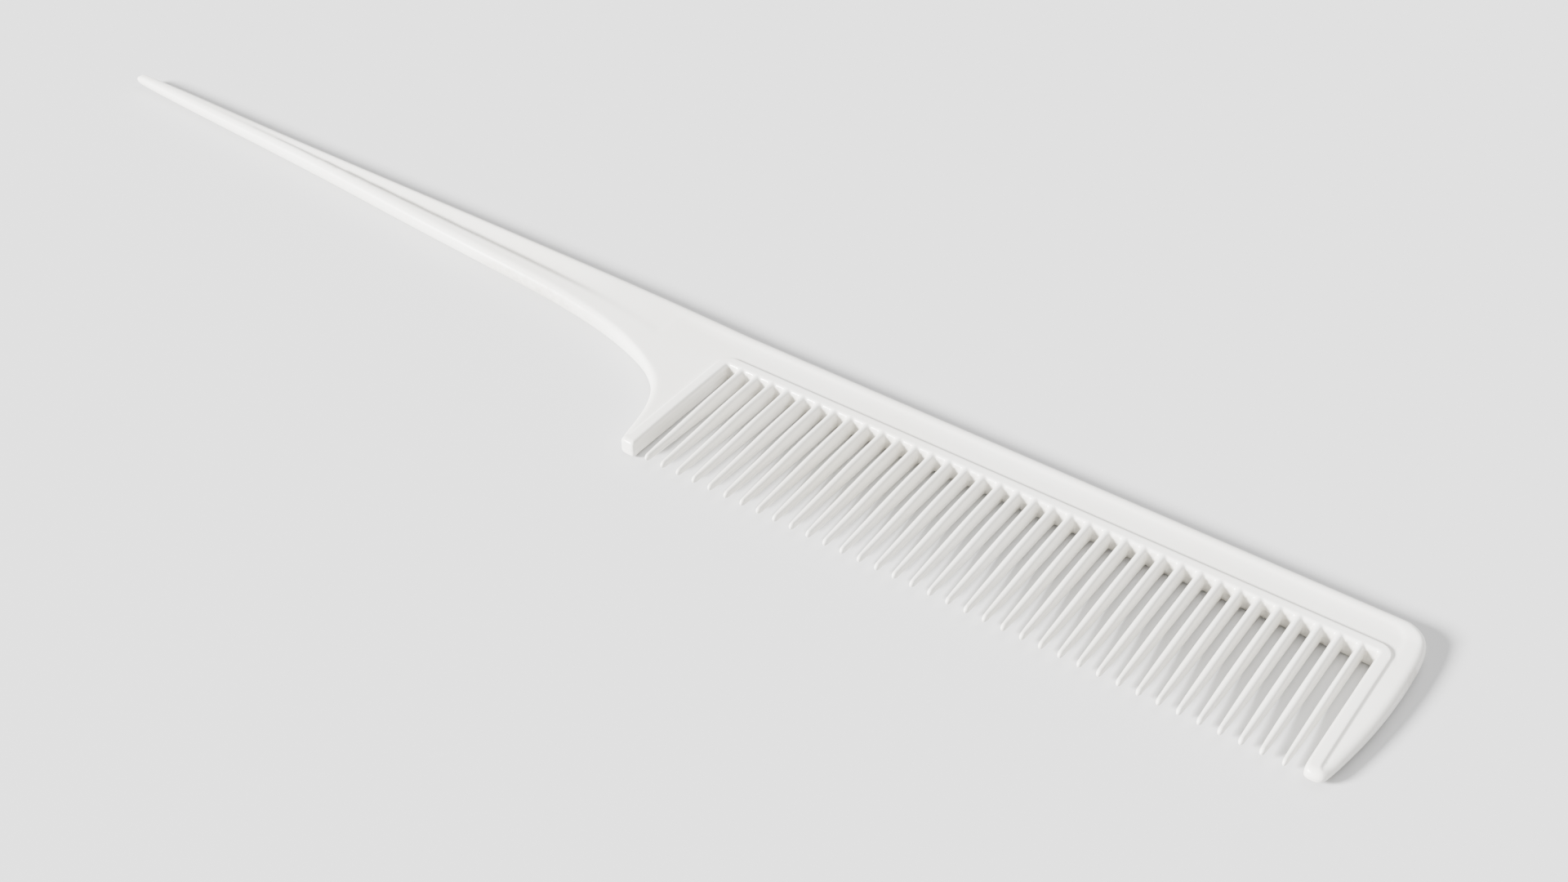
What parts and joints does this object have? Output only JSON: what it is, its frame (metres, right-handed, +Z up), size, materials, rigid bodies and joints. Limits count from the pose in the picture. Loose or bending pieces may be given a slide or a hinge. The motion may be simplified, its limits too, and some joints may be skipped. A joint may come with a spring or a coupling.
{
  "type": "rat tail comb",
  "caption": "Flat moulded styling comb: a row of fine teeth between two guard teeth, a ribbed back and a long tapering tail for parting hair.",
  "frame": {"origin": "middle of the outline, on the surface the comb lies on", "axes": "+X along the comb towards the end guard, away from the tail; +Y from the teeth to the back; +Z up, through the thickness"},
  "size_m": [0.23, 0.0296, 0.003],
  "materials": {
    "comb_plastic": "plain off-white moulding, satin gloss"
  },
  "bodies": {
    "root": {"back_spine": "comb_plastic", "tail_end": "comb_plastic", "tail_grip": "comb_plastic", "heel_shoulder": "comb_plastic", "heel_guard": "comb_plastic", "end_guard": "comb_plastic", "tooth_01": "comb_plastic", "tooth_02": "comb_plastic", "tooth_03": "comb_plastic", "tooth_04": "comb_plastic", "tooth_05": "comb_plastic", "tooth_06": "comb_plastic", "tooth_07": "comb_plastic", "tooth_08": "comb_plastic", "tooth_09": "comb_plastic", "tooth_10": "comb_plastic", "tooth_11": "comb_plastic", "tooth_12": "comb_plastic", "tooth_13": "comb_plastic", "tooth_14": "comb_plastic", "tooth_15": "comb_plastic", "tooth_16": "comb_plastic", "tooth_17": "comb_plastic", "tooth_18": "comb_plastic", "tooth_19": "comb_plastic", "tooth_20": "comb_plastic", "tooth_21": "comb_plastic", "tooth_22": "comb_plastic", "tooth_23": "comb_plastic", "tooth_24": "comb_plastic", "tooth_25": "comb_plastic", "tooth_26": "comb_plastic", "tooth_27": "comb_plastic", "tooth_28": "comb_plastic", "tooth_29": "comb_plastic", "tooth_30": "comb_plastic", "tooth_31": "comb_plastic", "tooth_32": "comb_plastic", "tooth_33": "comb_plastic", "tooth_34": "comb_plastic", "tooth_35": "comb_plastic", "tooth_36": "comb_plastic"}
  },
  "joints": []
}
